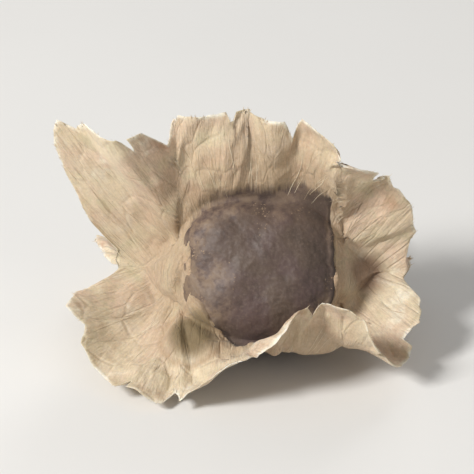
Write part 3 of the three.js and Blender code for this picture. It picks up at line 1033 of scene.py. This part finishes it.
# Ends a tree, runs it on an object and keeps the result as a plain mesh of its own
def runTree(name, source, tree, geometry, material, values):
    whole = addNode(tree, "GeometryNodeRealizeInstances", {"Geometry": geometry})
    painted = addNode(tree, "GeometryNodeSetMaterial", {"Geometry": whole, "Material": material})
    addNode(tree, "NodeGroupOutput", {"Geometry": painted})
    modifier = source.modifiers.new(name, "NODES")
    modifier.node_group = tree
    for item in tree.interface.items_tree:
        if item.in_out == "INPUT" and item.name in values:
            modifier[item.identifier] = values[item.name]
    graph = bpy.context.evaluated_depsgraph_get()
    mesh = bpy.data.meshes.new_from_object(source.evaluated_get(graph))
    source.modifiers.remove(modifier)
    mesh.name = name
    return addObject(name, mesh)


# Points and lines that a tree runs along
def makeGuide(name, points, edges, attributeName, values):
    mesh = bpy.data.meshes.new(name)
    mesh.from_pydata(points.tolist(), edges, [])
    addAttribute(mesh, attributeName, values)
    return addObject(name, mesh)


# Raised fibres that run from the hull out over the wings
fibres = {
    "perFlank": 42,
    "points": 26,
    "thickness": 0.034,
    "sides": 4,
    "drift": 3.0,  # rows that a fibre wanders sideways
    "startAt": (0.02, 0.98),  # as a share of the rows
    "from": (0.12, 0.3),  # as a share of the way from the root to the edge
    "to": (0.35, 0.95),  # as a share of what is left
    "waves": (1.5, 4),
    "phases": (0, 6),
    "widths": (0.45, 1),
    "arch": (0.08, 0.98),  # the part of a half wave that the thickness follows from end to end
    "fullness": 0.7,  # less than 1 keeps it thick for longer
    "seed": 5,
}


def makeFibres(flanks, material):
    random = np.random.default_rng(fibres["seed"])
    t = np.linspace(0, 1, fibres["points"])
    thickness = np.sin(pi * mix(*fibres["arch"], t)) ** fibres["fullness"]
    points, widths, edges = [], [], []
    for grid in [flank["points"] for flank in flanks for _ in range(fibres["perFlank"])]:
        lastRow, lastStep = grid.shape[0] - 1, grid.shape[1] - 1
        start = random.uniform(*fibres["startAt"]) * lastRow
        first = random.uniform(*fibres["from"]) * lastStep
        last = mix(first, lastStep, random.uniform(*fibres["to"]))
        wave = random.uniform(*fibres["waves"]) * t + random.uniform(*fibres["phases"])
        row = np.clip(start + fibres["drift"] * np.sin(wave) * t, 0, lastRow - 0.001)
        step = np.clip(mix(first, last, t), 0, lastStep - 0.001)
        i, j = row.astype(int), step.astype(int)
        a, b = (row - i)[:, None], (step - j)[:, None]
        near, far = mix(grid[i, j], grid[i + 1, j], a), mix(grid[i, j + 1], grid[i + 1, j + 1], a)
        base = len(points) * len(t)
        edges += [(base + n, base + n + 1) for n in range(len(t) - 1)]
        points.append(mix(near, far, b))
        widths.append(random.uniform(*fibres["widths"]) * thickness)
    places = placed(np.vstack(points))
    places[:, 2] = np.maximum(places[:, 2], fibres["thickness"] * mm)
    guide = makeGuide("fibreGuides", places, edges, "width", np.concatenate(widths))
    sizes = {"Thickness": fibres["thickness"] * mm, "Sides": fibres["sides"]}
    tree, given = newTree("fibres", sizes)
    lines = addNode(tree, "GeometryNodeMeshToCurve", {"Mesh": given["Geometry"]})
    ring = addNode(tree, "GeometryNodeCurvePrimitiveCircle",
                   {"Resolution": given["Sides"], "Radius": given["Thickness"]})
    tubes = addNode(tree, "GeometryNodeCurveToMesh", {
        "Curve": lines, "Profile Curve": ring, "Scale": namedValue(tree, "width"), "Fill Caps": True,
    })
    piece = runTree("wingFibres", guide, tree, tubes, material, sizes)
    bpy.data.objects.remove(guide)
    piece.data.shade_smooth()
    return piece


# Torn fibres that stand out of the wings' edges
fringe = {
    "perEdge": 190,
    "length": 0.42,
    "thickness": 0.035,
    "spread": 0.75,  # how far they lean off the wing's own direction
    "between": (0.03, 0.97),  # as a share of the rows
    "rootedIn": 0.1,
    "smallest": (0.4, 0.4, 0.2),  # as a share of the full size
    "seed": 8,
}


def makeFringe(flanks, material):
    random = np.random.default_rng(fringe["seed"])
    points, outwards = [], []
    for flank in flanks:
        row = random.uniform(*fringe["between"], fringe["perEdge"]) * (len(flank["points"]) - 1.001)
        i, a = row.astype(int), (row % 1)[:, None]
        rim, inner = flank["points"][:, -1], flank["points"][:, -3]
        points.append(mix(rim[i], rim[i + 1], a))
        outwards.append(mix(rim[i] - inner[i], rim[i + 1] - inner[i + 1], a))
    outward = unit(np.vstack(outwards))
    places = placed(np.vstack(points) - fringe["rootedIn"] * outward)
    clear = places[:, 2] > fringe["length"] * mm  # none where the edge lies on the surface
    guide = makeGuide("fringePoints", places[clear], [], "outward", outward[clear])
    sizes = {"Length": fringe["length"] * mm, "Thickness": fringe["thickness"] * mm,
             "Spread": fringe["spread"], "Seed": fringe["seed"]}
    tree, given = newTree("fringe", sizes)
    shred = addNode(tree, "GeometryNodeMeshCone", {
        "Vertices": 4, "Side Segments": 2, "Radius Top": 0.0,
        "Radius Bottom": given["Thickness"], "Depth": given["Length"],
    })
    lean = {"Vector": randomVector(tree, given["Seed"], (-1, -1, -1)), "Scale": given["Spread"]}
    aim = {0: addNode(tree, "ShaderNodeVectorMath", lean, operation="SCALE"),
           1: namedValue(tree, "outward", "FLOAT_VECTOR")}
    aim = addNode(tree, "ShaderNodeVectorMath", aim, operation="ADD")
    turned = addNode(tree, "FunctionNodeAlignRotationToVector", {"Vector": aim}, axis="Z")
    shreds = scattered(tree, given, given["Geometry"], shred, turned, fringe["smallest"])
    piece = runTree("tornFringe", guide, tree, shreds, material, sizes)
    bpy.data.objects.remove(guide)
    return piece


# Flakes of torn coat that cling to the hull, thickest near the coat's margin
scurf = {
    "perSquareMm": 16,
    "size": 0.11,
    "flatness": 0.12,
    "tilt": 0.3,
    "smallest": (0.25, 0.25, 0.3),  # as a share of the full size
    "seed": 3,
}


def makeScurf(hull, material):
    sizes = {"Density": scurf["perSquareMm"] / mm ** 2, "Size": scurf["size"] * mm,
             "Flatness": scurf["flatness"], "Seed": scurf["seed"]}
    tree, given = newTree("scurf", sizes)
    spots = addNode(tree, "GeometryNodeDistributePointsOnFaces", {
        "Mesh": given["Geometry"], "Seed": given["Seed"],
        "Density": times(tree, namedValue(tree, "scurf"), given["Density"]),
    })
    flake = addNode(tree, "GeometryNodeMeshIcoSphere", {"Radius": given["Size"], "Subdivisions": 1})
    shape = addNode(tree, "ShaderNodeCombineXYZ", {"X": 1.0, "Y": 0.6, "Z": given["Flatness"]})
    tilt = scurf["tilt"]
    turned = {"Rotation": spots.node.outputs["Rotation"],
              "Rotate By": randomVector(tree, given["Seed"], (-tilt, -tilt, 0), (tilt, tilt, 2 * pi))}
    turned = addNode(tree, "FunctionNodeRotateRotation", turned, rotation_space="LOCAL")
    flat = addNode(tree, "GeometryNodeTransform", {"Geometry": flake, "Scale": shape})
    flakes = scattered(tree, given, spots, flat, turned, scurf["smallest"])
    return runTree("hullScurf", hull, tree, flakes, material, sizes)


# Camera, light and floor; lengths here are metres
view = {
    "lens": 200,  # focal length in millimetres
    "distance": 0.172,
    "elevation": 30,
    "aim": (0.0, 0.0, 0.0072),
}
lights = {
    "key": {"place": (-0.19, -0.13, 0.2), "size": 0.07, "power": 0.92},
    "fill": {"place": (0.2, -0.22, 0.14), "size": 0.2, "power": 0.09},
    "back": {"place": (0.08, 0.24, 0.18), "size": 0.14, "power": 0.2},
    "sky": 0.26,
}
floorLook = {"pale": (232, 230, 226), "shaded": (222, 220, 216), "halfWidth": 1.5}


def addAimed(name, data, place, towards):
    made = addObject(name, data)
    made.location = place
    made.rotation_euler = towards.to_track_quat("-Z", "Y").to_euler()
    return made


def addCamera():
    slope = radians(view["elevation"])
    data = bpy.data.cameras.new("camera")
    data.lens = view["lens"]
    data.clip_start = 0.01
    back = Vector((0, -cos(slope), sin(slope)))
    place = Vector(view["aim"]) + back * view["distance"]
    bpy.context.scene.camera = addAimed("camera", data, place, -back)


def addLight(name, values):
    data = bpy.data.lights.new(name, "AREA")
    data.size = values["size"]
    data.energy = values["power"]
    addAimed(name, data, values["place"], Vector(view["aim"]) - Vector(values["place"]))


def addStudio():
    for name in ("key", "fill", "back"):
        addLight(name, lights[name])
    world = bpy.data.worlds.new("studio")
    world.use_nodes = True
    background = world.node_tree.nodes["Background"]
    background.inputs["Color"].default_value = (1, 1, 1, 1)
    background.inputs["Strength"].default_value = lights["sky"]
    bpy.context.scene.world = world
    bpy.context.scene.view_settings.view_transform = "Standard"
    material, tree = newMaterial("pale floor")
    tone = ramp(tree, noiseFac(tree, objectPlace(tree), 40.0), 0.3, 0.7)
    colour = layered(tree, paint(*floorLook["pale"]), floorLook, [(tone, 0.15, "shaded")])
    finishMaterial(tree, colour, 0.8, tone, 0.001, {"Specular IOR Level": 0.2})
    corners = np.array([(-1, -1, 0), (1, -1, 0), (1, 1, 0), (-1, 1, 0)]) * floorLook["halfWidth"]
    floor = makeObject("floor", corners, [[0, 1, 2, 3]], material)


addCamera()
addStudio()
print("camera and light placed")

paperMaterial = makePaperMaterial()
hullMaterial = makeHullMaterial()
fibreMaterial = makeFibreMaterial("papery fibre", fibreLook)
scurfMaterial = makeFibreMaterial("hull scurf", scurfLook)
coat, leavingFlanks, arrivingFlanks = makePaperCoat(paperMaterial)
print("papery coat:", len(coat.data.vertices), "points")
hull = makeSeedHull(hullMaterial)
print("seed hull:", len(hull.data.vertices), "points")

fibrePiece = makeFibres(leavingFlanks + arrivingFlanks, fibreMaterial)
fringePiece = makeFringe(leavingFlanks, fibreMaterial)
scurfPiece = makeScurf(hull, scurfMaterial)
for piece in (fibrePiece, fringePiece, scurfPiece):
    print(piece.name + ":", len(piece.data.vertices), "points")

finished = [(coat, "papery_wing"), (hull, "hull"), (fibrePiece, "papery_wing"),
            (fringePiece, "papery_wing"), (scurfPiece, "papery_wing")]
for piece, slot in finished:
    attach(piece, "root")
    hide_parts("moringa_seed")
